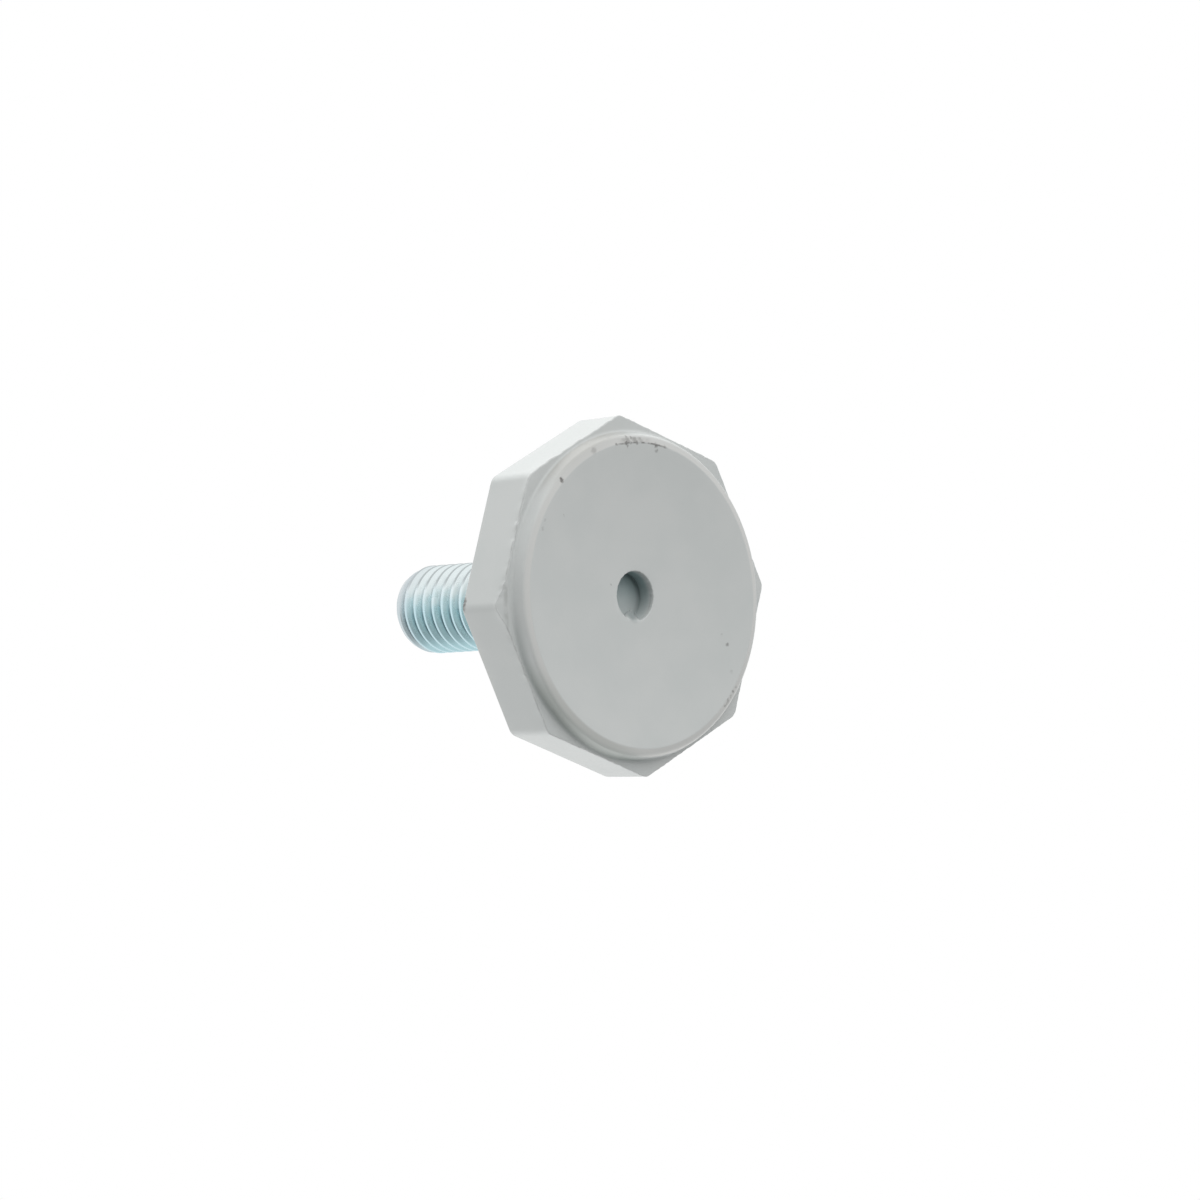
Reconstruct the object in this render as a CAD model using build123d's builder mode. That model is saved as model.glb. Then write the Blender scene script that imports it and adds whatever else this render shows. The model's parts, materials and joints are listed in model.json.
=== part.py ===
from build123d import *
import math
import os

# Levelling foot of a washing machine: a steel hexagon bolt with a light grey plastic head moulded round it.
# The sole stands on z = 0 and the threaded stud points up along +Z. All sizes are in millimetres.

os.makedirs("parts", exist_ok=True)

# Hexagon bolt: its shank is the stud, drawn plain at the thread's outer diameter above a short neck
thread_diameter = 10.0
neck_diameter = 9.0
neck_length = 2.0
stud_length = 25.0
point_length = 1.5
point_drop = 0.6
bolt_head_flats = 16.0
bolt_head_height = 6.4
bolt_face_diameter = 15.0
bolt_chamfer_angle = 30.0

# Octagon for a spanner, widest at its lower edge, where the mould parts
head_flats = 36.5
head_thickness = 6.2
head_draft = 1.3
head_corner_radius = 0.6
back_edge_chamfer = 0.2

# Round pad under the octagon, with a dished sole that stands on a narrow flat land
pad_diameter = 35.0
pad_height = 1.6
pad_root_flare = 0.5
pad_rim_radius = 0.6
sole_land_width = 0.35
dish_depth = 1.3
pin_hole_diameter = 5.4
pin_hole_depth = 2.2

# Hub on the back, and the plastic left under and over the bolt's head
hub_diameter = 23.0
bolt_floor = 0.5
hub_cover = 0.9
hub_draft = 3.0
hub_rim_chamfer = 0.6
hub_root_flare = 0.8

# Heights along the axis, from the sole up
ledge_z = pad_height
back_z = ledge_z + head_thickness
pin_hole_z = dish_depth + pin_hole_depth
bolt_face_z = pin_hole_z + bolt_floor
bolt_seat_z = bolt_face_z + bolt_head_height
hub_top_z = bolt_seat_z + hub_cover

# The bolt's corners are turned off by a cone that starts at the round face of its head
bolt_corner_radius = bolt_head_flats / math.sqrt(3)
bolt_cone_height = (bolt_corner_radius - bolt_face_diameter / 2) * math.tan(math.radians(bolt_chamfer_angle))

# The hub draws in from its root to its rim
hub_wall_height = hub_top_z - back_z - hub_root_flare
hub_rim_radius = hub_diameter / 2 - hub_wall_height * math.tan(math.radians(hub_draft))

# The dish is the cap of a large sphere that meets the inner edge of the land
dish_radius = pad_diameter / 2 - pad_rim_radius - sole_land_width
dish_sphere_radius = (dish_radius**2 + dish_depth**2) / (2 * dish_depth)

with BuildPart() as stud:
    # Hexagon head
    with BuildSketch(Plane.XY.offset(bolt_face_z)):
        RegularPolygon(bolt_head_flats / 2, 6, major_radius=False)
    extrude(amount=bolt_head_height)
    with BuildSketch(Plane.XZ):
        with BuildLine():
            Polyline(
                (0, bolt_face_z),
                (bolt_face_diameter / 2, bolt_face_z),
                (bolt_corner_radius, bolt_face_z + bolt_cone_height),
                (bolt_corner_radius, bolt_seat_z),
                (0, bolt_seat_z),
                close=True,
            )
        make_face()
    revolve(axis=Axis.Z, mode=Mode.INTERSECT)
    # Neck where the thread runs out, then the shank with its tapered point
    with BuildSketch(Plane.XY.offset(bolt_seat_z)):
        Circle(neck_diameter / 2)
    extrude(amount=neck_length)
    with BuildSketch(Plane.XY.offset(bolt_seat_z + neck_length)):
        Circle(thread_diameter / 2)
    extrude(amount=stud_length - neck_length)
    stud_end = stud.faces().sort_by(Axis.Z)[-1]
    chamfer(stud_end.edges(), length=point_drop, length2=point_length, reference=stud_end)
stud.part.label = "threaded_stud"
export_step(stud.part, "parts/threaded_stud.step")

with BuildPart() as head:
    # Octagon, drawn in towards the back
    with BuildSketch(Plane.XY.offset(ledge_z)) as octagon:
        RegularPolygon(head_flats / 2, 8, major_radius=False, rotation=22.5)
        fillet(octagon.vertices(), head_corner_radius)
    extrude(amount=head_thickness, taper=head_draft)
    chamfer(head.faces().sort_by(Axis.Z)[-1].edges(), back_edge_chamfer)
    # Hub
    with BuildSketch(Plane.XZ):
        with BuildLine():
            Polyline(
                (0, back_z),
                (hub_diameter / 2 + hub_root_flare, back_z),
                (hub_diameter / 2, back_z + hub_root_flare),
                (hub_rim_radius, hub_top_z),
                (0, hub_top_z),
                close=True,
            )
        make_face()
    revolve(axis=Axis.Z)
    chamfer(head.faces().sort_by(Axis.Z)[-1].edges(), hub_rim_chamfer)
    # Pad that flares out to its root, with a rounded rim
    with BuildSketch(Plane.XZ):
        with BuildLine():
            Polyline(
                (0, ledge_z),
                (pad_diameter / 2 + pad_root_flare, ledge_z),
                (pad_diameter / 2, ledge_z - pad_root_flare),
                (pad_diameter / 2, 0),
                (0, 0),
                close=True,
            )
        make_face()
    revolve(axis=Axis.Z)
    fillet(head.faces().sort_by(Axis.Z)[0].edges(), pad_rim_radius)
    # Dish in the sole, cut by a sphere with its poles turned away from it
    with Locations((0, 0, dish_depth - dish_sphere_radius)):
        Sphere(dish_sphere_radius, rotation=(90, 0, 0), mode=Mode.SUBTRACT)
    # Blind hole left by a pin of the mould
    with BuildSketch(Plane.XY):
        Circle(pin_hole_diameter / 2)
    extrude(amount=pin_hole_z, mode=Mode.SUBTRACT)
    # Seat that the plastic takes from the bolt it is moulded round
    add(stud.part, mode=Mode.SUBTRACT)
head.part.label = "foot_head"
export_step(head.part, "parts/foot_head.step")
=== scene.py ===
import json
import math

import bpy
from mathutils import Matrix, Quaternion, Vector, noise


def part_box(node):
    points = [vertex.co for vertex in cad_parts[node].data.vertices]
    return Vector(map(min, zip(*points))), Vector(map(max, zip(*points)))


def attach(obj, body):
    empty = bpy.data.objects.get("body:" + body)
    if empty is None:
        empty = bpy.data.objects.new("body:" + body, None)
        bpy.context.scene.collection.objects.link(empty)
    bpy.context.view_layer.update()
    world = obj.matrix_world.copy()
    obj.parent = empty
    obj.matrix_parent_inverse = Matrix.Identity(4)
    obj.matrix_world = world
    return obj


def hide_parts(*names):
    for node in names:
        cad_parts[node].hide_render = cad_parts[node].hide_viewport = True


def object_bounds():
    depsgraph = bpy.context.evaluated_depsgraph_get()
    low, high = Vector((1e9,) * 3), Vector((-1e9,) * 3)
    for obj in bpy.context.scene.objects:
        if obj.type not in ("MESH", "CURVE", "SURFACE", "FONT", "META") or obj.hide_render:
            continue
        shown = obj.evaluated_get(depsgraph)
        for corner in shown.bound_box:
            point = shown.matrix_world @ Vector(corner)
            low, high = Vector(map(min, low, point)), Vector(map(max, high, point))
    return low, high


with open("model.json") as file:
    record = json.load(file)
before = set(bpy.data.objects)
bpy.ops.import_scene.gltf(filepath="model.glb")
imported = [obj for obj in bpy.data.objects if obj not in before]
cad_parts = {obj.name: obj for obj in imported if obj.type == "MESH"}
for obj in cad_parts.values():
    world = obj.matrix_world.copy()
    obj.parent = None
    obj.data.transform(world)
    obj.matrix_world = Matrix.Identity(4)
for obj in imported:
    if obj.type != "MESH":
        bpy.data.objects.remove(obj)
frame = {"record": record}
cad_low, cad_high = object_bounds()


# The stud is a steel hexagon bolt, M10 x 25, with a rolled right-hand thread, zinc plated with a blue film.
# The plastic is moulded round its head and the start of its neck. The plating is painted paler on the lit
# side, dull at the point, painted shade lies in the thread's root, and the crests carry a painted highlight.
mm = 0.001
bolt_low, bolt_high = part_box("threaded_stud")
stud_mount = next(mount for mount in frame["record"]["mounts"] if mount["name"] == "stud")
thread_radius = stud_mount["dims"]["r_mm"] * mm
thread_start_z = stud_mount["pos_m"][2] - stud_mount["dims"]["length_mm"] * mm / 2
thread_pitch = 1.5 * mm
thread_depth = 0.75 * mm
thread_turn = math.radians(96)
crest_loss = 0.09 * mm
crest_radius = thread_radius - crest_loss
root_radius = crest_radius - thread_depth
crest_share = 0.15
root_share = 0.08
flank_softness = 0.7
run_out_length = 1.8 * mm
point_length = 1.5 * mm
point_drop = 0.6 * mm
point_land_width = 0.5 * mm
point_cup_radius = 2.6 * mm
point_cup_floor_radius = 1.3 * mm
point_cup_lip = 0.075 * mm
point_cup_depth = 0.25 * mm
neck_radius = 4.5 * mm
neck_length = 2.0 * mm
bolt_flats_half = (bolt_high.y - bolt_low.y) / 2
bolt_seat_z = thread_start_z - neck_length
bolt_face_radius = 7.5 * mm
bolt_chamfer = math.radians(30)
bolt_sharp_angle = math.radians(50)
turn_steps = 96
profile_steps = 24


def hexagon_reach(angle):
    """Distance from the axis to the bolt head's flat side, with its corners on the X axis."""
    return bolt_flats_half / math.cos(angle % (math.pi / 3) - math.pi / 6)


def smooth_rise(value, start, end):
    """Soft step from 0 to 1."""
    share = min(max((value - start) / (end - start), 0.0), 1.0)
    return share * share * (3 - 2 * share)


def thread_reach(angle, z):
    """Distance from the axis to the rolled thread, which grows out of the neck and fades into the point."""
    share = ((z - thread_start_z) / thread_pitch - (angle - thread_turn) / math.tau) % 1.0
    rise = 1 - abs(2 * share - 1)
    flank = min(max((rise - root_share) / (1 - root_share - crest_share), 0.0), 1.0)
    height = 0.5 + 0.5 * math.tanh(flank_softness * (2 * flank - 1)) / math.tanh(flank_softness)
    reach = crest_radius - thread_depth * (1 - height)
    grown = smooth_rise(z, thread_start_z, thread_start_z + run_out_length)
    reach = neck_radius + (reach - neck_radius) * grown
    into_point = max(z - (bolt_high.z - point_length), 0.0) / point_length
    return min(reach, crest_radius - point_drop * into_point)


bolt_points = []
bolt_faces = []


def bolt_ring(reach, height):
    """One ring round the bolt; reach and height are numbers or follow the angle."""
    ring = []
    for step in range(turn_steps):
        angle = math.tau * step / turn_steps
        r = reach(angle) if callable(reach) else reach
        z = height(angle) if callable(height) else height
        ring.append(len(bolt_points))
        bolt_points.append((r * math.cos(angle), r * math.sin(angle), z))
    return ring


def join_rings(faces, lower, upper):
    """Four-sided faces between two rings of the same count, facing away from the axis when upper is above."""
    count = len(lower)
    for step in range(count):
        after = (step + 1) % count
        faces.append((lower[step], lower[after], upper[after], upper[step]))


def chamfer_z(angle):
    """Height at which the cone that turns off the bolt head's corners meets its side."""
    return bolt_low.z + (hexagon_reach(angle) - bolt_face_radius) * math.tan(bolt_chamfer)


head_rings = [
    bolt_ring(bolt_face_radius, bolt_low.z),
    bolt_ring(hexagon_reach, chamfer_z),
    bolt_ring(hexagon_reach, bolt_seat_z),
    bolt_ring(neck_radius, bolt_seat_z),
    bolt_ring(neck_radius, thread_start_z),
]
for lower, upper in zip(head_rings, head_rings[1:]):
    join_rings(bolt_faces, lower, upper)
bolt_faces.append(tuple(reversed(head_rings[0])))

point_rings = [
    bolt_ring(lambda angle: thread_reach(angle, bolt_high.z), bolt_high.z),
    bolt_ring(point_cup_radius + point_land_width, bolt_high.z),
    bolt_ring(point_cup_radius, bolt_high.z - point_cup_lip),
    bolt_ring(point_cup_floor_radius, bolt_high.z - point_cup_depth),
]
for lower, upper in zip(point_rings, point_rings[1:]):
    join_rings(bolt_faces, lower, upper)
bolt_faces.append(tuple(point_rings[-1]))

helix_points = {}


def helix_point(step, row):
    """The mesh point at a step along the helix and a row of its profile, held between the end rings."""
    step += turn_steps * (row // profile_steps)
    row %= profile_steps
    z = thread_start_z + thread_pitch * (step / turn_steps + row / profile_steps - 1)
    if z <= thread_start_z:
        return head_rings[-1][step % turn_steps]
    if z >= bolt_high.z:
        return point_rings[0][step % turn_steps]
    if (step, row) not in helix_points:
        angle = math.tau * step / turn_steps
        r = thread_reach(angle, z)
        helix_points[step, row] = len(bolt_points)
        bolt_points.append((r * math.cos(angle), r * math.sin(angle), z))
    return helix_points[step, row]


helix_turns = math.ceil((bolt_high.z - thread_start_z) / thread_pitch) + 1
for step in range(turn_steps * helix_turns):
    for row in range(profile_steps):
        corners = (helix_point(step, row), helix_point(step + 1, row),
                   helix_point(step + 1, row + 1), helix_point(step, row + 1))
        corners = tuple(dict.fromkeys(corners))
        if len(corners) > 2:
            bolt_faces.append(corners)


def make_piece(name, points, faces, sharp_angle):
    """A mesh piece with smooth faces, and sharp edges only where the surface breaks."""
    mesh = bpy.data.meshes.new(name)
    mesh.from_pydata(points, [], faces)
    mesh.validate()
    mesh.polygons.foreach_set("use_smooth", [True] * len(mesh.polygons))
    mesh.set_sharp_from_angle(angle=sharp_angle)
    piece = bpy.data.objects.new(name, mesh)
    bpy.context.scene.collection.objects.link(piece)
    return piece


threaded_bolt = make_piece("threaded_bolt", bolt_points, bolt_faces, bolt_sharp_angle)


def new_finish(name):
    """An empty material with its node tree and shader."""
    finish = bpy.data.materials.new(name)
    finish.use_nodes = True
    return finish, finish.node_tree, finish.node_tree.nodes["Principled BSDF"]


def add_node(tree, kind, links=None, **settings):
    """A node with its settings, whose inputs take a socket to link to or a plain value."""
    node = tree.nodes.new(kind)
    for name, value in settings.items():
        setattr(node, name, value)
    for name, value in (links or {}).items():
        if isinstance(value, bpy.types.NodeSocket):
            tree.links.new(value, node.inputs[name])
        else:
            node.inputs[name].default_value = value
    return node


def blend_colours(tree, share, first, second):
    """The colour that lies at a share of the way from one colour to another."""
    # Inputs 6 and 7 and output 2 of a mix node are its colour sockets
    mix = add_node(tree, "ShaderNodeMix", {0: share, 6: first, 7: second}, data_type="RGBA")
    return mix.outputs[2]


def spread(tree, value, low, high, to_low=0.0, to_high=1.0):
    """A value's range stretched to another range, with soft ends."""
    node = add_node(tree, "ShaderNodeMapRange", {
        "Value": value, "From Min": low, "From Max": high, "To Min": to_low, "To Max": to_high,
    }, interpolation_type="SMOOTHSTEP")
    return node.outputs["Result"]


def fall(tree, value, start, end):
    """A mask that falls from 1 to 0 between two values."""
    return spread(tree, value, start, end, 1.0, 0.0)


def combine(tree, operation, first, *others):
    """Masks put together one after the other, as by MULTIPLY or MAXIMUM."""
    result = first
    for other in others:
        result = add_node(tree, "ShaderNodeMath", {0: result, 1: other}, operation=operation).outputs[0]
    return result


def patches(tree, place, scale, detail):
    """Even noise over the surface, at a scale of so many patches to the metre."""
    texture = add_node(tree, "ShaderNodeTexNoise", {"Vector": place, "Scale": scale, "Detail": detail})
    return texture.outputs["Fac"]


def vector_math(tree, operation, first, second=(0, 0, 0)):
    """Two vectors put together; a dot product, a distance or a length comes out as a plain number."""
    node = add_node(tree, "ShaderNodeVectorMath", {0: first, 1: second}, operation=operation)
    as_number = operation in ("DOT_PRODUCT", "DISTANCE", "LENGTH")
    return node.outputs["Value" if as_number else "Vector"]


def round_axis(tree, place):
    """Distance from the Z axis, height along it and angle round it."""
    parts = add_node(tree, "ShaderNodeSeparateXYZ", {0: place}).outputs
    radius = vector_math(tree, "LENGTH", vector_math(tree, "MULTIPLY", place, (1, 1, 0)))
    return radius, parts["Z"], combine(tree, "ARCTAN2", parts["Y"], parts["X"])


blue_zinc, tree, shader = new_finish("blue_passivated_zinc")
place = add_node(tree, "ShaderNodeTexCoord").outputs["Object"]
radius, height, _ = round_axis(tree, place)
clouds = patches(tree, place, scale=700, detail=4)
grain = patches(tree, place, scale=6000, detail=3)

# The plating is painted paler on the side the light comes from and bluer on the other, as painted light and
# shade
lit_way = (0.93, -0.37, 0)
shaded_blue = (0.43, 0.635, 0.68, 1)
lit_blue = (0.79, 0.865, 0.875, 1)
lit_change = (-0.8 * mm, 3.0 * mm)
lit_wander = 0.5 * mm
lit_side = vector_math(tree, "DOT_PRODUCT", place, lit_way)
lit_edge = spread(tree, clouds, 0.3, 0.7, -lit_wander, lit_wander)
lit_share = spread(tree, combine(tree, "ADD", lit_side, lit_edge), *lit_change)
plating = blend_colours(tree, lit_share, shaded_blue, lit_blue)

# The crests are painted bright as a painted highlight, and grey along the lit side as painted shade
crest_highlight_shaded_side = (0.56, 0.76, 0.82, 1)
crest_highlight_lit_side = (0.80, 0.88, 0.90, 1)
crest_shade = (0.47, 0.52, 0.53, 1)
crest_shade_change = (2.0 * mm, 3.2 * mm)
crest_light_and_shade = blend_colours(tree, lit_share, crest_highlight_shaded_side, crest_highlight_lit_side)
crest_light_and_shade = blend_colours(tree, spread(tree, lit_side, *crest_shade_change), crest_light_and_shade, crest_shade)
crest_highlight_mask = spread(tree, radius, crest_radius - 0.10 * mm, crest_radius - 0.03 * mm)
plating = blend_colours(tree, crest_highlight_mask, plating, crest_light_and_shade)

# The plating is dull at the point
dull_zinc = (0.58, 0.63, 0.66, 1)
dull_length = 3.0 * mm
dull_share = 0.8
dull = spread(tree, height, bolt_high.z - dull_length, bolt_high.z - 0.6 * mm, 0.0, dull_share)
plating = blend_colours(tree, dull, plating, dull_zinc)

# The thread's root is painted dark as painted shade, mostly on the side away from the light, and not on the
# end face
thread_root_shade_colour = (0.07, 0.11, 0.13, 1)
thread_root_shade = combine(
    tree, "MULTIPLY",
    fall(tree, radius, root_radius + 0.10 * mm, root_radius + 0.32 * mm),
    spread(tree, clouds, 0.3, 0.6, 0.45, 0.90),
    spread(tree, lit_side, -2.0 * mm, 0.6 * mm, 1.0, 0.35),
    fall(tree, height, bolt_high.z - 0.6 * mm, bolt_high.z - 0.3 * mm),
)
plating = blend_colours(tree, thread_root_shade, plating, thread_root_shade_colour)

tree.links.new(plating, shader.inputs["Base Color"])
zinc_roughness = (0.22, 0.34)
tree.links.new(spread(tree, clouds, 0.2, 0.8, *zinc_roughness), shader.inputs["Roughness"])
dimples = add_node(tree, "ShaderNodeBump", {"Height": grain, "Strength": 0.06, "Distance": 0.02 * mm})
tree.links.new(dimples.outputs["Normal"], shader.inputs["Normal"])
shader.inputs["Metallic"].default_value = 1.0
threaded_bolt.data.materials.append(blue_zinc)

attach(threaded_bolt, "root")
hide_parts("threaded_stud")


# The head is one moulding of light grey plastic round the bolt: an octagon for a spanner with draft on its
# flats, a round pad under it with a bevelled rim and a dished sole, and a hub on the back. A pin of the mould
# left the blind hole, with a burr under its mouth. The parting edge is ragged, chipped and worn at a corner.
head_low, head_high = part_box("foot_head")
octagon_half = (head_high.x - head_low.x) / 2
octagon_draft = math.radians(1.3)
corner_radius = 1.4 * mm
edge_radius = 0.12 * mm
back_edge = 0.2 * mm
ledge_z = 1.6 * mm
back_z = 7.8 * mm
pad_radius = 17.43 * mm
pad_root_radius = 17.88 * mm
pad_root_round = 0.3 * mm
bevel_width = 0.83 * mm
bevel_height = 0.22 * mm
bevel_top_round = 0.3 * mm
crease_radius = pad_radius - bevel_width
crease_round = 0.1 * mm
dish_depth = 1.3 * mm
dish_sphere = (crease_radius ** 2 + dish_depth ** 2) / (2 * dish_depth)
hole_radius = 2.7 * mm
hole_depth = 2.2 * mm
hole_edge = 0.12 * mm
hole_corner = 0.06 * mm
hub_radius = 11.5 * mm
hub_draft = math.radians(3)
hub_rim = 0.6 * mm
hub_flare = 0.8 * mm
hub_top_z = head_high.z
hub_wall_top = hub_radius - (hub_top_z - back_z - hub_flare) * math.tan(hub_draft)
octagon_back_half = octagon_half - (back_z - ledge_z) * math.tan(octagon_draft)
head_sharp_angle = math.radians(20)
octagon_sides = 8
sector = math.tau / octagon_sides
flat_steps = 64
corner_steps = 6


def octagon_reach(angle, half):
    """Distance from the axis to an octagon's flat, or to the small round at its corner."""
    from_flat = (angle + sector / 2) % sector - sector / 2
    if abs(half * math.tan(from_flat)) <= (half - corner_radius) * math.tan(sector / 2):
        return half / math.cos(from_flat)
    from_corner = sector / 2 - abs(from_flat)
    centre = (half - corner_radius) / math.cos(sector / 2)
    aside = centre * math.sin(from_corner)
    return centre * math.cos(from_corner) + math.sqrt(corner_radius ** 2 - aside ** 2)


corner_width = sector / 2 - math.atan((1 - corner_radius / octagon_half) * math.tan(sector / 2))
head_angles = []
for side in range(octagon_sides):
    flat_start = side * sector - sector / 2 + corner_width
    flat_width = sector - 2 * corner_width
    head_angles += [flat_start + flat_width * step / flat_steps for step in range(flat_steps)]
    corner_start = flat_start + flat_width
    head_angles += [corner_start + 2 * corner_width * step / corner_steps for step in range(corner_steps)]

head_points = []
head_loops = []


def head_ring(reach, height):
    """The next ring of the moulding's skin; reach and height are numbers or follow the angle."""
    ring = []
    for angle in head_angles:
        r = reach(angle) if callable(reach) else reach
        z = height(angle) if callable(height) else height
        ring.append(len(head_points))
        head_points.append((r * math.cos(angle), r * math.sin(angle), z))
    head_loops.append(ring)


def between(start, end, count):
    """Evenly spaced values after start, up to and with end."""
    return [start + (end - start) * step / count for step in range(1, count + 1)]


quarter_turn = between(0, math.pi / 2, count=6)


def ragged(angle, size, grain):
    """Small uneven shift along an edge, the same on every run."""
    return size * noise.noise(Vector((math.cos(angle), math.sin(angle), 0.0)) * grain)


def apart(angle, other):
    """Angle between two directions round the axis, from -pi to pi."""
    return (angle - other + math.pi) % math.tau - math.pi


flash_size = 0.06 * mm
flash_grain = 40
wander_size = 0.16 * mm
wander_grain = 14
wander_side = math.radians(258)
chip_height = 0.9 * mm
# Each chip has an angle in degrees, a depth and a width
chips = (
    (253.1, 0.10 * mm, 0.32 * mm), (277.1, 0.14 * mm, 0.32 * mm),
    (237.2, 0.10 * mm, 0.32 * mm), (292.5, 0.15 * mm, 0.9 * mm),
)
worn_corner = math.radians(248.5)
worn_width = math.radians(5)
worn_lift = 0.6 * mm
worn_height = 1.6 * mm


def edge_shift(angle, z):
    """How far flash stands out of the parting edge, or a chip goes into it, fading up the flat."""
    shift = ragged(angle, flash_size, flash_grain)
    shift += ragged(angle, wander_size, wander_grain) * max(math.cos(apart(angle, wander_side)), 0.0)
    for chip_angle, chip_depth, chip_width in chips:
        aside = apart(angle, math.radians(chip_angle)) * octagon_half / chip_width
        shift -= chip_depth * math.exp(-aside * aside)
    return shift * (1 - smooth_rise(z, ledge_z + edge_radius, ledge_z + chip_height))


def edge_lift(angle):
    """How far the worn corner's lower edge lies above the ledge."""
    return worn_lift * math.exp(-(apart(angle, worn_corner) / worn_width) ** 2)


def octagon_ring(half, z):
    """A ring round the octagon, with its flash, its chips and its worn corner."""
    lift_share = 1 - smooth_rise(z, ledge_z, ledge_z + worn_height)
    head_ring(lambda angle: octagon_reach(angle, half) + edge_shift(angle, z),
              lambda angle: z + edge_lift(angle) * lift_share)


def back_reach(angle, share):
    """Distance from the axis at a share of the way from the hub's foot to the octagon's back edge."""
    outer = octagon_reach(angle, octagon_back_half - back_edge)
    return hub_radius + hub_flare + (outer - hub_radius - hub_flare) * share


def ledge_reach(angle, share):
    """Distance from the axis at a share of the way from the parting edge to the pad's root."""
    outer = octagon_reach(angle, octagon_half - edge_radius) + edge_shift(angle, ledge_z)
    return outer + (pad_root_radius + pad_root_round - outer) * share


# The skin starts in the bolt's seat and runs over the hub, across the back and down the flats to the ledge
head_ring(bolt_face_radius, bolt_low.z)
head_ring(hexagon_reach, chamfer_z)
head_ring(hexagon_reach, bolt_seat_z)
head_ring(neck_radius, bolt_seat_z)
head_ring(neck_radius, hub_top_z)
for r in between(neck_radius, hub_wall_top - hub_rim, count=4):
    head_ring(r, hub_top_z)
for turn in quarter_turn:
    head_ring(hub_wall_top - hub_rim * (1 - math.sin(turn)), hub_top_z - hub_rim * (1 - math.cos(turn)))
for z in between(hub_top_z - hub_rim, back_z + hub_flare, count=3):
    head_ring(hub_radius - (z - back_z - hub_flare) * math.tan(hub_draft), z)
for turn in quarter_turn:
    head_ring(hub_radius + hub_flare * (1 - math.cos(turn)), back_z + hub_flare * (1 - math.sin(turn)))
for share in between(0, 1, count=5):
    head_ring(lambda angle: back_reach(angle, share), back_z)
for turn in quarter_turn:
    octagon_ring(octagon_back_half - back_edge * (1 - math.sin(turn)),
                 back_z - back_edge * (1 - math.cos(turn)))
flat_rows = between(back_z - back_edge, ledge_z + chip_height, count=6)
flat_rows += between(ledge_z + chip_height, ledge_z + edge_radius, count=4)
for z in flat_rows:
    octagon_ring(octagon_half - (z - ledge_z) * math.tan(octagon_draft), z)
for turn in quarter_turn:
    octagon_ring(octagon_half - edge_radius * (1 - math.cos(turn)),
                 ledge_z + edge_radius * (1 - math.sin(turn)))
for share in between(0, 1, count=8):
    head_ring(lambda angle: ledge_reach(angle, share),
              lambda angle: ledge_z + edge_lift(angle) * (1 - share) ** 2)


def dish_z(r):
    """Height of the dish, the cap of a large sphere, at a distance from the axis."""
    return dish_depth - dish_sphere + math.sqrt(dish_sphere ** 2 - r ** 2)


def round_corner(before, corner, after, reach, count):
    """Rings over a corner of the section that is rounded off for a reach to either side."""
    before, corner, after = Vector(before), Vector(corner), Vector(after)
    start = corner + (before - corner).normalized() * reach
    end = corner + (after - corner).normalized() * reach
    for step in range(count + 1):
        share = step / count
        r, z = start * (1 - share) ** 2 + corner * 2 * share * (1 - share) + end * share ** 2
        head_ring(r, z)


# Then it runs over the pad's bevelled rim and across the dish to the hole
pad_root = (pad_root_radius, ledge_z)
bevel_top = (pad_radius, bevel_height)
crease = (crease_radius, 0.0)
dish_edge = crease_radius - crease_round
round_corner((octagon_half, ledge_z), pad_root, bevel_top, pad_root_round, count=5)
round_corner(pad_root, bevel_top, crease, bevel_top_round, count=10)
round_corner(bevel_top, crease, (dish_edge, dish_z(dish_edge)), crease_round, count=6)
for r in between(dish_edge, hole_radius + hole_edge, count=24):
    head_ring(r, dish_z(r))
hole_mouth_z = dish_z(hole_radius + hole_edge)
hole_floor_z = dish_depth + hole_depth
burr_angle = math.radians(167)
burr_half_width = math.radians(23)
burr_reach = 1.25 * mm
burr_top = 0.8 * mm
burr_thickness = 1.2 * mm
burr_bluntness = 0.6
burr_fullness = 0.9
burr_unevenness = 0.2
burr_grain = 5
mouth_flash = 0.05 * mm
mouth_grain = 9


def burr(angle, z):
    """Share of the burr at this angle, which swells under the hole's mouth and fades along its wall."""
    lump = max(1 - (apart(angle, burr_angle) / burr_half_width) ** 2, 0.0) ** burr_bluntness
    swell = smooth_rise(z, hole_mouth_z, hole_mouth_z + burr_top)
    fade = 1 - smooth_rise(z, hole_mouth_z + burr_top, hole_mouth_z + burr_top + burr_thickness)
    return lump * (burr_fullness + ragged(angle, burr_unevenness, burr_grain)) * swell * fade


def hole_ring(r, z):
    """A ring of the hole's mouth or wall, with the burr standing in from it and a ragged edge."""
    fade = 1 - smooth_rise(z, hole_mouth_z, hole_mouth_z + burr_thickness)

    def wall_reach(angle):
        return r - burr_reach * burr(angle, z) + ragged(angle, mouth_flash, mouth_grain) * fade

    head_ring(wall_reach, z)


for turn in quarter_turn:
    hole_ring(hole_radius + hole_edge * (1 - math.sin(turn)), hole_mouth_z + hole_edge * (1 - math.cos(turn)))
for z in between(hole_mouth_z + hole_edge, hole_floor_z - hole_corner, count=20):
    hole_ring(hole_radius, z)
for turn in quarter_turn:
    head_ring(hole_radius - hole_corner * (1 - math.cos(turn)),
              hole_floor_z - hole_corner * (1 - math.sin(turn)))
head_ring(hole_radius / 2, hole_floor_z)

head_faces = [tuple(head_loops[0]), tuple(reversed(head_loops[-1]))]
for upper, lower in zip(head_loops, head_loops[1:]):
    join_rings(head_faces, lower, upper)
moulded_head = make_piece("moulded_head", head_points, head_faces, head_sharp_angle)

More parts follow.
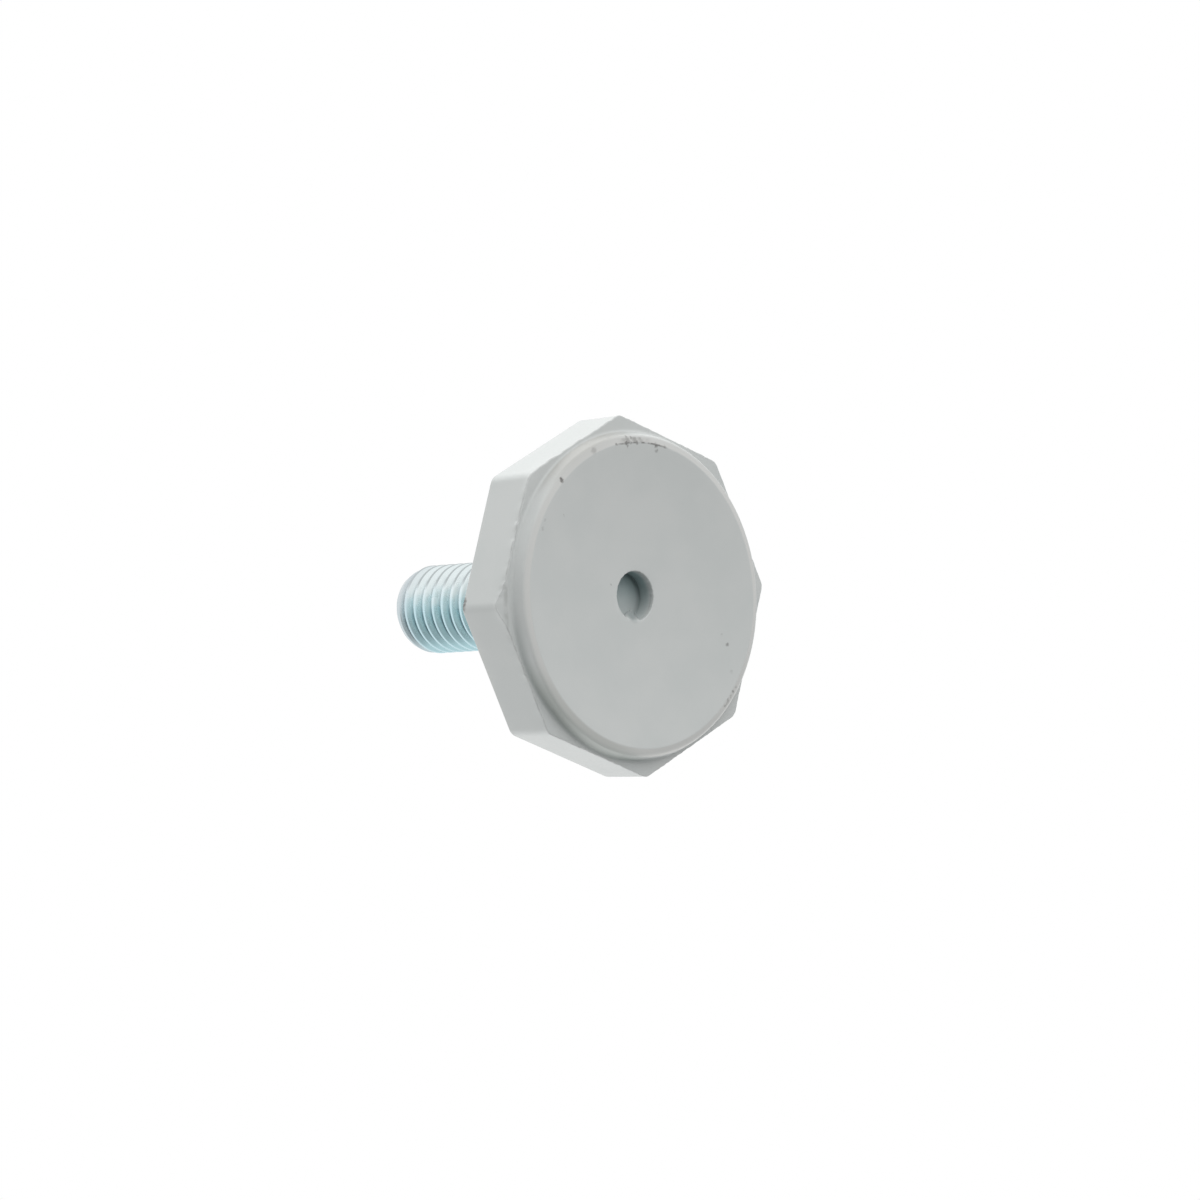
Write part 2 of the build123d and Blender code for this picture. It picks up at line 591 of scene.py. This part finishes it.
grey_moulding, tree, shader = new_finish("light_grey_moulding")
place = add_node(tree, "ShaderNodeTexCoord").outputs["Object"]
radius, height, angle = round_axis(tree, place)
grain = patches(tree, place, scale=3500, detail=3)
cool_grey = (0.495, 0.517, 0.511, 1)
pale_grey = (0.518, 0.536, 0.529, 1)
shades = patches(tree, place, scale=160, detail=3)
plastic = blend_colours(tree, spread(tree, shades, 0.3, 0.7), cool_grey, pale_grey)


def band(tree, value, start, full, fading, end):
    """A mask that rises from start to full and falls from fading to end."""
    return combine(tree, "MULTIPLY", spread(tree, value, start, full), fall(tree, value, fading, end))


def toward(side):
    """The level direction at an angle round the axis."""
    return (math.cos(side), math.sin(side), 0)


# The hole is painted dark as painted shade, darkest in its corner and on one side
hole_shade_way = (0.966, -0.259, 0)
hole_shade_colour = (0.23, 0.32, 0.33, 1)
hole_corner_shade_colour = (0.08, 0.11, 0.11, 1)
hole_shade_shares = (0.2, 0.85)
hole_shade_side = vector_math(tree, "DOT_PRODUCT", place, hole_shade_way)
hole_shade = combine(
    tree, "MULTIPLY",
    fall(tree, radius, hole_radius + 0.02 * mm, hole_radius + 0.1 * mm),
    spread(tree, height, hole_mouth_z + 0.2 * mm, hole_mouth_z + 1.2 * mm),
    spread(tree, hole_shade_side, -2.4 * mm, 2.7 * mm, *hole_shade_shares),
)
plastic = blend_colours(tree, hole_shade, plastic, hole_shade_colour)
hole_corner_shade = combine(
    tree, "MULTIPLY", hole_shade,
    spread(tree, radius, hole_radius - 0.7 * mm, hole_radius),
    spread(tree, height, hole_floor_z - 0.3 * mm, hole_floor_z),
)
plastic = blend_colours(tree, hole_corner_shade, plastic, hole_corner_shade_colour)

# The pad's root is painted dark on one side, a painted shadow of the pad on the ledge
pad_shadow_side = math.radians(193)
pad_root_shade_colour = (0.17, 0.21, 0.20, 1)
pad_root_shade_share = 0.42
sideways = vector_math(tree, "DOT_PRODUCT", place, toward(pad_shadow_side))
pad_root_shade = combine(
    tree, "MULTIPLY",
    band(tree, height, ledge_z - 1.1 * mm, ledge_z - 0.2 * mm, ledge_z + 0.1 * mm, ledge_z + 0.2 * mm),
    band(tree, radius, pad_radius - 0.1 * mm, pad_radius + 0.1 * mm,
         pad_root_radius, pad_root_radius + 0.35 * mm),
    spread(tree, sideways, 8.0 * mm, 17.0 * mm, 0.0, pad_root_shade_share),
)
plastic = blend_colours(tree, pad_root_shade, plastic, pad_root_shade_colour)

# The bevel is painted pale all round: partly wear where it rubs, partly painted light
rubbed_and_lit_grey = (0.545, 0.55, 0.537, 1)
rubbed_and_lit = combine(
    tree, "MULTIPLY",
    spread(tree, radius, crease_radius - 0.05 * mm, crease_radius + 0.15 * mm),
    fall(tree, height, bevel_height - 0.2 * mm, bevel_height + 0.2 * mm),
)
plastic = blend_colours(tree, rubbed_and_lit, plastic, rubbed_and_lit_grey)

# The bevel and the pad's flank are painted darker on one low side as painted shade, and a haze of dirt lies
# on them at another side
hazy_side = math.radians(315)
rim_shade_colour = (0.28, 0.31, 0.28, 1)
rim_shade_shares = (0.32, 0.50)
haze_colour = (0.31, 0.30, 0.275, 1)
haze_shares = (0.15, 0.52)
on_rim = combine(
    tree, "MULTIPLY",
    spread(tree, radius, crease_radius - 0.1 * mm, crease_radius + 0.2 * mm),
    fall(tree, radius, pad_root_radius - 0.1 * mm, pad_root_radius + 0.1 * mm),
    fall(tree, height, ledge_z + 0.05 * mm, ledge_z + 0.15 * mm),
)
rim_shade = combine(
    tree, "MULTIPLY", on_rim,
    spread(tree, sideways, 14.0 * mm, 16.8 * mm),
    spread(tree, radius, pad_radius - 0.1 * mm, pad_radius + 0.05 * mm, *rim_shade_shares),
)
plastic = blend_colours(tree, rim_shade, plastic, rim_shade_colour)
haze = combine(
    tree, "MULTIPLY", on_rim,
    spread(tree, vector_math(tree, "DOT_PRODUCT", place, toward(hazy_side)), 15.5 * mm, 17.6 * mm),
    spread(tree, radius, pad_radius - 0.35 * mm, pad_radius + 0.05 * mm, *haze_shares),
)
plastic = blend_colours(tree, haze, plastic, haze_colour)

# On a third side the bevel's outer part carries a painted highlight, a pale line outside a strip that is a
# little dull
shoulder_side = math.radians(128)
shoulder_radius = crease_radius + 0.55 * mm
dull_grey = (0.30, 0.32, 0.31, 1)
dull_strip_share = 0.15
shoulder_highlight_colour = (0.67, 0.68, 0.66, 1)
near_sole = fall(tree, height, 0.3 * mm, 0.5 * mm)
shoulder = combine(
    tree, "MULTIPLY", near_sole,
    spread(tree, vector_math(tree, "DOT_PRODUCT", place, toward(shoulder_side)), 13.0 * mm, 15.5 * mm),
)
dull_strip = combine(
    tree, "MULTIPLY", shoulder,
    spread(tree, radius, crease_radius - 0.05 * mm, crease_radius + 0.1 * mm),
    spread(tree, radius, shoulder_radius - 0.15 * mm, shoulder_radius, dull_strip_share, 0.0),
)
plastic = blend_colours(tree, dull_strip, plastic, dull_grey)
shoulder_highlight = combine(
    tree, "MULTIPLY", shoulder,
    spread(tree, radius, shoulder_radius, shoulder_radius + 0.15 * mm),
)
plastic = blend_colours(tree, shoulder_highlight, plastic, shoulder_highlight_colour)

# The ragged parting edge is darkened in uneven patches as painted shade
edge_shade_colour = (0.25, 0.26, 0.25, 1)
edge_shade = combine(
    tree, "MULTIPLY",
    band(tree, height, ledge_z + 0.01 * mm, ledge_z + 0.06 * mm, ledge_z + 0.12 * mm, ledge_z + 0.3 * mm),
    spread(tree, patches(tree, place, scale=900, detail=3), 0.35, 0.65, 0.05, 0.4),
)
plastic = blend_colours(tree, edge_shade, plastic, edge_shade_colour)

# The burr under the hole's mouth is painted dark as painted shade
burr_shade_colour = (0.20, 0.23, 0.23, 1)
burr_shade_size = 1.2 * mm
burr_radius = hole_radius - burr_reach / 2
burr_place = (
    burr_radius * math.cos(burr_angle),
    burr_radius * math.sin(burr_angle),
    hole_mouth_z + burr_top / 2,
)


def mark(tree, where, centre, size, darkness):
    """A small mark, even over its core and fading out to its rim."""
    core_share = 0.2
    gap = vector_math(tree, "DISTANCE", where, centre)
    return spread(tree, gap, core_share * size, size, darkness, 0.0)


burr_shade = mark(tree, place, burr_place, burr_shade_size, darkness=0.9)
plastic = blend_colours(tree, burr_shade, plastic, burr_shade_colour)

# Scuffs along the crease and the bevel, and specks on the sole, all with uneven outlines. Each mark has an
# angle in degrees, a radius and a size in millimetres, and its darkness.
# One dark colour serves the scuffs and specks, and the painted shade on the back edge
wear_and_shade_colour = (0.09, 0.085, 0.08, 1)
mark_warp = 0.6 * mm
marks = (
    (-30.3, 16.66, 0.30, 0.6), (-25.3, 16.6, 0.42, 0.8), (-24.7, 16.27, 0.28, 0.5), (-22.9, 16.55, 0.24, 0.7),
    (-19.9, 16.6, 0.35, 0.7), (-10.1, 16.52, 0.42, 0.8), (-9.0, 15.97, 0.32, 0.5), (-5.6, 16.63, 0.28, 0.6),
    (-24.6, 17.24, 0.25, 0.5), (-22.4, 17.1, 0.25, 0.55), (-20.9, 17.02, 0.2, 0.45), (109.7, 16.8, 0.28, 0.6),
    (107.4, 16.85, 0.26, 0.4), (111.8, 16.85, 0.24, 0.35), (113.9, 16.85, 0.3, 0.5), (115.2, 16.9, 0.26, 0.4),
    (116.5, 16.88, 0.3, 0.45), (-61.9, 16.88, 0.40, 0.9), (93.7, 13.85, 0.30, 0.6), (-89.4, 3.84, 0.18, 0.5),
    (90.2, 12.82, 0.14, 0.2), (-71.2, 14.02, 0.16, 0.2), (103.6, 15.49, 0.3, 0.15), (-79.3, 16.24, 0.3, 0.2),
    (-82.7, 16.17, 0.3, 0.2), (-42.0, 17.0, 0.55, 0.3),
)
# Three marks along the back edge of one flat are painted shade, in the dark gap beside the stud
back_edge_shade_marks = (-7.5 * mm, -7.0 * mm, -6.5 * mm)
back_edge_shade_size = 0.45 * mm
warp = add_node(tree, "ShaderNodeTexNoise", {"Vector": place, "Scale": 2500, "Detail": 2}).outputs["Color"]
warp = vector_math(tree, "SUBTRACT", warp, (0.5, 0.5, 0.5))
warp = vector_math(tree, "MULTIPLY", warp, (mark_warp, mark_warp, mark_warp))
where = vector_math(tree, "ADD", place, warp)


def sole_z(r):
    """Height of the sole at a distance from the axis, over the dish and the bevel."""
    if r < crease_radius:
        return dish_z(r)
    return bevel_height * (r - crease_radius) / bevel_width


def stretch(tree, angle, *degrees):
    """A mask over a stretch of the way round, like a band but in degrees."""
    return band(tree, angle, *[math.radians(value) for value in degrees])


wear_and_shade_masks = []
for turn, r, size, darkness in marks:
    turn = math.radians(turn)
    centre = (r * mm * math.cos(turn), r * mm * math.sin(turn), sole_z(r * mm))
    wear_and_shade_masks.append(mark(tree, where, centre, size * mm, darkness))
for x in back_edge_shade_marks:
    centre = (x, -octagon_back_half, back_z - back_edge)
    wear_and_shade_masks.append(mark(tree, where, centre, back_edge_shade_size, darkness=0.8))
scuff_line = combine(
    tree, "MULTIPLY", near_sole,
    stretch(tree, angle, -31, -28, -7, -3),
    band(tree, radius, crease_radius - 0.15 * mm, crease_radius - 0.04 * mm,
         crease_radius + 0.04 * mm, crease_radius + 0.15 * mm),
    spread(tree, patches(tree, place, scale=1300, detail=4), 0.36, 0.60, 0.15, 0.75),
)
smudge = combine(
    tree, "MULTIPLY",
    stretch(tree, angle, -30, -24, -19, -11),
    band(tree, radius, crease_radius - 0.1 * mm, crease_radius + 0.05 * mm,
         crease_radius + 0.45 * mm, crease_radius + 0.7 * mm),
    fall(tree, height, 0.3 * mm, 0.6 * mm),
    spread(tree, patches(tree, place, scale=1600, detail=4), 0.35, 0.65, 0.10, 0.50),
)
# The scuffs and specks are wear; the back edge marks among them are painted shade
wear_and_shade = combine(tree, "MAXIMUM", scuff_line, smudge, *wear_and_shade_masks)
plastic = blend_colours(tree, wear_and_shade, plastic, wear_and_shade_colour)

tree.links.new(plastic, shader.inputs["Base Color"])
plastic_roughness = (0.34, 0.46)
tree.links.new(spread(tree, grain, 0.25, 0.75, *plastic_roughness), shader.inputs["Roughness"])
tooth = add_node(tree, "ShaderNodeBump", {"Height": grain, "Strength": 0.10, "Distance": 0.02 * mm})
tree.links.new(tooth.outputs["Normal"], shader.inputs["Normal"])
moulded_head.data.materials.append(grey_moulding)

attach(moulded_head, "root")
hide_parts("foot_head")


# The floor is a plain white sheet under the sole. It is seen from above only, and lets the light from below
# pass, because the foot is also looked at from underneath.
floor_radius = 0.6
floor_gap = 0.05 * mm
floor_fade = 0.25
floor_steps = 64
floor_white = (0.9, 0.9, 0.9, 1)
floor_rim = []
for step in range(floor_steps):
    turn = math.tau * step / floor_steps
    floor_rim.append((floor_radius * math.cos(turn), floor_radius * math.sin(turn), -floor_gap))
floor_mesh = bpy.data.meshes.new("floor")
floor_mesh.from_pydata(floor_rim, [], [tuple(range(floor_steps))])
floor = bpy.data.objects.new("floor", floor_mesh)
bpy.context.scene.collection.objects.link(floor)
floor_paper, tree, shader = new_finish("floor_paper")
shader.inputs["Base Color"].default_value = floor_white
shader.inputs["Roughness"].default_value = 0.9
seen = add_node(tree, "ShaderNodeLightPath").outputs["Is Camera Ray"]
under = add_node(tree, "ShaderNodeNewGeometry").outputs["Backfacing"]
place = add_node(tree, "ShaderNodeTexCoord").outputs["Object"]
near = fall(tree, vector_math(tree, "LENGTH", place), floor_radius - floor_fade, floor_radius)
shown = combine(tree, "MULTIPLY", seen, fall(tree, under, 0.0, 1.0), near)
clear = add_node(tree, "ShaderNodeBsdfTransparent")
choice = add_node(tree, "ShaderNodeMixShader", {0: shown, 1: clear.outputs[0], 2: shader.outputs[0]})
tree.links.new(choice.outputs[0], tree.nodes["Material Output"].inputs["Surface"])
floor.data.materials.append(floor_paper)


# The studio is a white surround, dimmer on one low side, which the metal mirrors at a level of its own. Two
# softboxes above lift the shade on the flats, and a larger one lights the foot from below. None of the three
# shows in the metal.
surround_level = 0.78
opening_level = 0.12
opening_side = Vector((-0.47, -0.26, -0.84)).normalized()
opening_edge = math.cos(math.radians(50))
opening_middle = math.cos(math.radians(10))
mirror_level = 1.0
mirror_dim = 0.52
mirror_side = Vector((-0.65, -0.23, -0.714)).normalized()
mirror_edge = math.cos(math.radians(45))
mirror_middle = math.cos(math.radians(10))
world = bpy.data.worlds.new("studio")
world.use_nodes = True
bpy.context.scene.world = world
tree = world.node_tree
tree.nodes.clear()
rays = add_node(tree, "ShaderNodeLightPath").outputs
way = add_node(tree, "ShaderNodeTexCoord").outputs["Generated"]
toward_opening = vector_math(tree, "DOT_PRODUCT", way, opening_side)
lit = spread(tree, toward_opening, opening_edge, opening_middle, surround_level, opening_level)
toward_dim = vector_math(tree, "DOT_PRODUCT", way, mirror_side)
shade = spread(tree, toward_dim, mirror_edge, mirror_middle, mirror_level, mirror_dim)
plain_white = (1, 1, 1, 1)
soft_light = add_node(tree, "ShaderNodeBackground", {"Color": plain_white, "Strength": lit})
mirrored = add_node(tree, "ShaderNodeBackground", {"Color": plain_white, "Strength": shade})
white = add_node(tree, "ShaderNodeBackground", {"Color": plain_white, "Strength": 1.0})
polish = add_node(tree, "ShaderNodeMixShader", {
    0: rays["Is Glossy Ray"], 1: soft_light.outputs[0], 2: mirrored.outputs[0],
})
view = add_node(tree, "ShaderNodeMixShader", {
    0: rays["Is Camera Ray"], 1: polish.outputs[0], 2: white.outputs[0],
})
add_node(tree, "ShaderNodeOutputWorld", {"Surface": view.outputs[0]})

foot_middle = (cad_low + cad_high) / 2
softbox_distance = 0.8


def softbox(name, direction, size, level):
    """A square lamp aimed at the foot; a white sheet square to it renders at about the given level."""
    lamp = bpy.data.lights.new(name, "AREA")
    lamp.shape = "SQUARE"
    lamp.size = size
    lamp.energy = level * (math.pi * softbox_distance) ** 2
    box = bpy.data.objects.new(name, lamp)
    away = Vector(direction).normalized()
    box.location = foot_middle + away * softbox_distance
    box.rotation_euler = away.to_track_quat("Z", "Y").to_euler()
    box.visible_glossy = False
    bpy.context.scene.collection.objects.link(box)


softbox("right_softbox", direction=(0.78, -0.25, 0.57), size=0.6, level=0.70)
softbox("left_softbox", direction=(-0.75, 0.35, 0.55), size=0.8, level=0.71)
softbox("low_softbox", direction=(0.70, -0.33, -0.63), size=0.9, level=0.66)


# The camera has a long lens, for a view with little perspective. It looks up at the sole from below, and is
# rolled so that the stud lies to the left of the picture.
camera_azimuth = math.radians(-21.884)
camera_elevation = math.radians(-46.749)
camera_roll = math.radians(-93.861)
camera_distance = 815.0 * mm
camera_target = Vector((-1.45, -3.125, 3.236)) * mm
camera_sensor = 36.0
camera_lens = 225.86
camera_near = 10.0 * mm
camera_data = bpy.data.cameras.new("camera")
camera_data.sensor_width = camera_sensor
camera_data.lens = camera_lens
camera_data.clip_start = camera_near
camera = bpy.data.objects.new("camera", camera_data)
camera_back = Vector((
    math.sin(camera_azimuth) * math.cos(camera_elevation),
    -math.cos(camera_azimuth) * math.cos(camera_elevation),
    math.sin(camera_elevation),
))
level_turn = camera_back.to_track_quat("Z", "Y")
camera.rotation_mode = "QUATERNION"
camera.rotation_quaternion = level_turn @ Quaternion((0, 0, 1), camera_roll)
camera.location = camera_target + camera_back * camera_distance
bpy.context.scene.collection.objects.link(camera)
bpy.context.scene.camera = camera
bpy.context.scene.view_settings.view_transform = "Standard"
